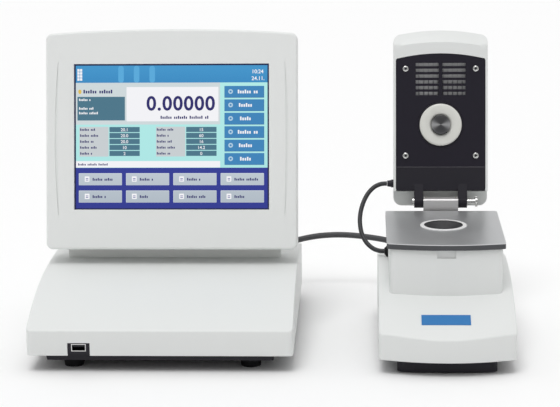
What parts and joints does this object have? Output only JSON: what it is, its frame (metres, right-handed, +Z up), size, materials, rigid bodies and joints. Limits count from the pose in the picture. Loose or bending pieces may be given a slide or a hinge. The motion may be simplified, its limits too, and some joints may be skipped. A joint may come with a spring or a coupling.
{
  "type": "abbe refractometer",
  "caption": "Automatic digital Abbe refractometer: touch-screen console and a separate measuring head with a steel sample plate and a hinged presser lid, joined by a cable.",
  "frame": {"origin": "on the bench under the middle of the pair of units", "axes": "+X from the console to the measuring head, -Y towards the operator, +Z up"},
  "size_m": [0.4996, 0.3679, 0.3268],
  "materials": {
    "shell_plastic": "moulded, fine satin texture",
    "bezel_plastic": "moulded, satin",
    "black_plastic": "moulded, satin black",
    "black_panel": "satin black sheet",
    "rubber_black": "moulded rubber",
    "cable_grey": "smooth cable sheath",
    "cable_dark": "smooth cable sheath",
    "steel_brushed": "brushed stainless",
    "steel_turned": "fine turned stainless",
    "steel_zinc": "zinc plated",
    "nickel": "nickel plated",
    "aluminium_plain": "machined",
    "aluminium_dark": "black anodised",
    "bronze": "sintered bronze",
    "screen_glass": "touch screen glass over the lit display",
    "prism_glass": "polished sapphire",
    "board_green": "solder-masked board",
    "ceramic_white": "ceramic plates",
    "ring_white": "machined white plastic",
    "label_blue": "plain blue plate"
  },
  "bodies": {
    "root": {"console_base_cover": "shell_plastic", "console_base_plate": "black_plastic", "console_feet": "rubber_black", "foot_screws": "steel_zinc", "usb_bezel": "black_plastic", "usb_socket": "nickel", "display_front_bezel": "bezel_plastic", "display_rear_cover": "shell_plastic", "display_neck": "shell_plastic", "touch_glass": "screen_glass", "display_gasket": "rubber_black", "lcd_panel": "screen_glass", "lcd_frame": "steel_zinc", "main_board": "board_green", "power_supply": "steel_zinc", "console_fan_frame": "black_plastic", "rear_io_panel": "black_panel", "power_inlet": "black_plastic", "switch_frame": "black_plastic", "data_sockets": "black_plastic", "console_cable_gland": "black_plastic", "link_cable": "cable_grey", "head_cable_gland": "black_plastic", "head_base_cover": "shell_plastic", "head_plinth": "black_plastic", "head_feet": "rubber_black", "head_pedestal": "shell_plastic", "steel_top_plate": "steel_brushed", "sample_well_ring": "steel_turned", "prism_mount": "aluminium_plain", "prism": "prism_glass", "prism_seal": "rubber_black", "optical_bench": "aluminium_dark", "light_source": "aluminium_dark", "collimating_lens": "prism_glass", "sensor_board": "board_green", "thermo_modules": "ceramic_white", "heat_sink": "aluminium_plain", "head_board": "board_green", "label_plate": "label_blue", "cable_grommet": "rubber_black", "lid_cable": "cable_dark", "hinge_bracket": "steel_brushed", "bracket_screws": "nickel", "hinge_bushes": "bronze"},
    "lid": {"lid_shell": "shell_plastic", "lid_panel": "black_panel", "lid_hinge_block": "black_plastic", "lid_screws": "nickel", "presser_ring": "ring_white", "presser_spring": "steel_zinc", "lid_fan_frame": "black_plastic", "lid_heat_sink": "aluminium_plain", "lid_cable_gland": "rubber_black", "hinge_pin": "nickel", "pin_thumb_nut": "nickel"},
    "presser": {"presser_disc": "steel_turned"},
    "lid_fan": {"lid_fan_rotor": "black_plastic"},
    "rocker": {"power_rocker": "black_plastic"},
    "console_fan": {"console_fan_rotor": "black_plastic"}
  },
  "joints": [
    {"name": "lid_hinge", "type": "hinge", "parent": "root", "child": "lid", "pos_m": [0.18, 0.076, 0.1307], "axis": [1, 0, 0], "range_deg": [0, 102]},
    {"name": "presser_slide", "type": "slide", "parent": "lid", "child": "presser", "axis": [0, 0.9781, -0.2079], "range_m": [0, 0.0015], "stiffness_N_per_m": 400, "springref_m": -0.01},
    {"name": "rocker_tip", "type": "hinge", "parent": "root", "child": "rocker", "pos_m": [-0.0713, 0.1525, 0.039], "axis": [1, 0, 0], "range_deg": [0, 12]},
    {"name": "console_fan_spin", "type": "hinge", "parent": "root", "child": "console_fan", "pos_m": [-0.1833, 0.147, 0.039], "axis": [0, 1, 0], "continuous": true},
    {"name": "lid_fan_spin", "type": "hinge", "parent": "lid", "child": "lid_fan", "pos_m": [0.18, 0.12394, 0.26006], "axis": [0, 0.9781, -0.2079], "continuous": true}
  ]
}
